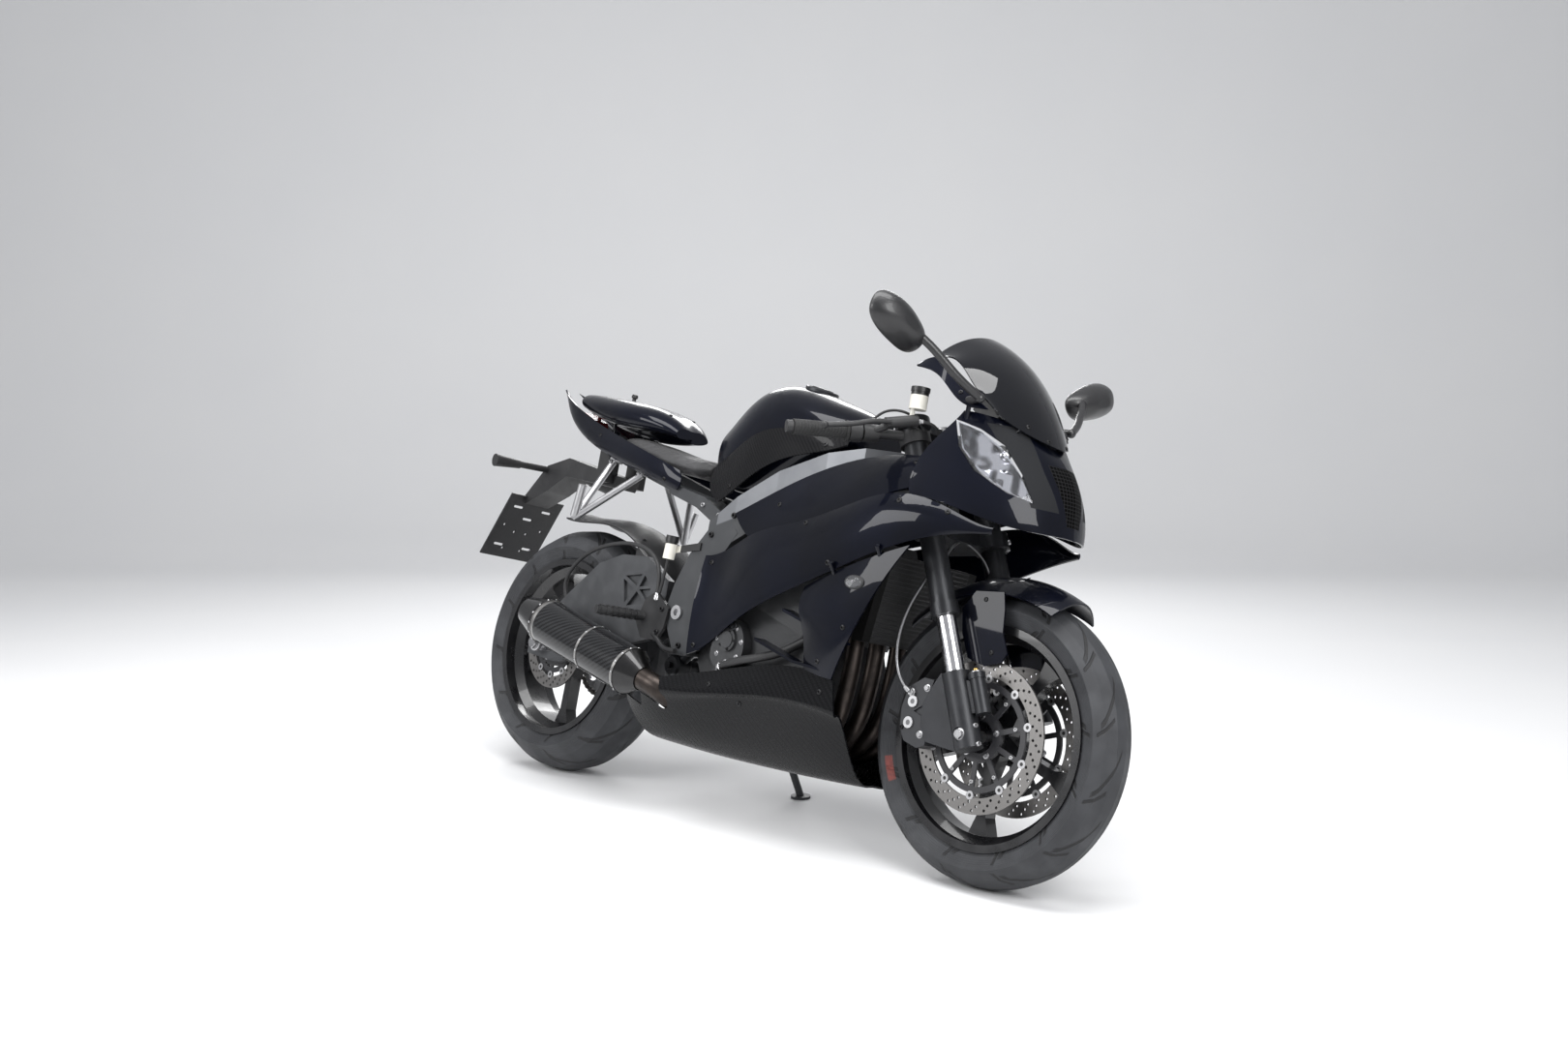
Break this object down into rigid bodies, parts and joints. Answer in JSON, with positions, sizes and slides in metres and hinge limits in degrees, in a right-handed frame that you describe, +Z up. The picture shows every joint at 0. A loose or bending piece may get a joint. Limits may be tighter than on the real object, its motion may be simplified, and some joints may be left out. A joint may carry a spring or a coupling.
{
  "type": "sport motorcycle",
  "caption": "Faired sport motorcycle in gloss black and grey, leaning on its side stand, with turning wheels, steering and a folding stand",
  "frame": {"origin": "centre of the bounding box in X and Y, on the ground at Z 0, with the bike leaning 14 degrees to its left on its side stand", "axes": "+X along the bike to its front, +Y to its left as a rider sits, +Z up; the wheel axles tilt with the lean"},
  "size_m": [2.0778, 0.842, 1.1987],
  "materials": {
    "black_lacquer": "gloss near-black lacquer with a dark blue sheen",
    "carbon_panel": "gloss woven carbon look",
    "spar_grey": "satin silver-grey paint",
    "frame_grey": "matte dark grey paint",
    "engine_grey": "matte dark grey cast alloy",
    "arm_grey": "matte grey alloy",
    "exhaust_steel": "heat-darkened steel",
    "silencer_carbon": "woven carbon sleeve with metal bands and a dark cap",
    "rim_black": "gloss black cast wheel",
    "disc_steel": "drilled steel with dark carriers",
    "tyre_rubber": "worn dark grey-blue rubber with curved grooves",
    "fork_chrome": "bright polished tube",
    "lug_grey": "dark grey cast alloy",
    "yoke_alloy": "matte dark alloy",
    "bare_steel": "plain machined steel",
    "grip_rubber": "matte black rubber",
    "control_black": "matte black plastic and black levers",
    "cup_white": "translucent white cup with a black cap",
    "seat_vinyl": "matte black seat vinyl",
    "smoke_screen": "dark smoked clear plastic",
    "lamp_clear": "clear lens over a ribbed reflector",
    "lamp_chrome": "bright ribbed reflector behind the lens",
    "lamp_red": "red tail lens",
    "mirror_black": "matte black mirror shell",
    "bracket_black": "matte black bracket",
    "peg_alloy": "satin silver alloy",
    "chain_steel": "oiled dark steel",
    "cover_grey": "matte fine-textured dark grey panel"
  },
  "bodies": {
    "chassis": {"belly_pan": "carbon_panel", "cowl_wings": "black_lacquer", "drive_chain": "chain_steel", "engine_block": "engine_grey", "engine_covers": "engine_grey", "exhaust_headers": "exhaust_steel", "fuel_tank": "black_lacquer", "headlights": "lamp_clear", "instrument_cluster": "control_black", "lamp_bowls": "lamp_chrome", "main_frame": "spar_grey", "mid_fairings": "black_lacquer", "mirrors": "mirror_black", "pillion_hangers": "peg_alloy", "pivot_shaft": "bare_steel", "plate_holder": "bracket_black", "radiator": "bracket_black", "rear_axle": "bare_steel", "rear_caliper": "lug_grey", "rear_hugger": "bracket_black", "rear_reservoir": "cup_white", "rear_shock": "frame_grey", "rider_footrests": "peg_alloy", "rider_seat": "seat_vinyl", "seat_cowl": "black_lacquer", "side_panels": "black_lacquer", "silencer": "silencer_carbon", "subframe": "frame_grey", "swingarm": "arm_grey", "tail_fairing": "black_lacquer", "tail_light": "lamp_red", "tank_covers": "cover_grey", "upper_cowl": "black_lacquer", "windscreen": "smoke_screen"},
    "steering": {"bar_controls": "control_black", "fork_lugs": "lug_grey", "fork_sliders": "fork_chrome", "fork_tubes": "lug_grey", "front_axle": "bare_steel", "front_calipers": "lug_grey", "front_fender": "black_lacquer", "front_reservoir": "cup_white", "grips": "grip_rubber", "handlebars": "control_black", "lower_yoke": "yoke_alloy", "top_yoke": "yoke_alloy"},
    "front_wheel": {"front_discs": "disc_steel", "front_rim": "rim_black", "front_tyre": "tyre_rubber"},
    "rear_wheel": {"rear_disc": "disc_steel", "rear_rim": "rim_black", "rear_sprocket": "bare_steel", "rear_tyre": "tyre_rubber"},
    "side_stand": {"side_stand": "frame_grey"}
  },
  "joints": [
    {"name": "steering_turn", "type": "hinge", "parent": "chassis", "child": "steering", "pos_m": [0.4358, -0.04125, 0.87432], "axis": [-0.4063, 0.221, 0.8866], "range_deg": [-27, 27]},
    {"name": "front_wheel_spin", "type": "hinge", "parent": "steering", "child": "front_wheel", "pos_m": [0.73894, -0.18626, 0.29255], "axis": [-0.0001, 0.9703, -0.2419], "continuous": true},
    {"name": "rear_wheel_spin", "type": "hinge", "parent": "chassis", "child": "rear_wheel", "pos_m": [-0.64106, -0.18263, 0.30784], "axis": [-0.0001, 0.9703, -0.2419], "continuous": true},
    {"name": "side_stand_swing", "type": "hinge", "parent": "chassis", "child": "side_stand", "pos_m": [-0.0791, -0.05334, 0.27839], "axis": [0.1698, 0.9645, 0.2025], "range_deg": [0, 108]}
  ]
}
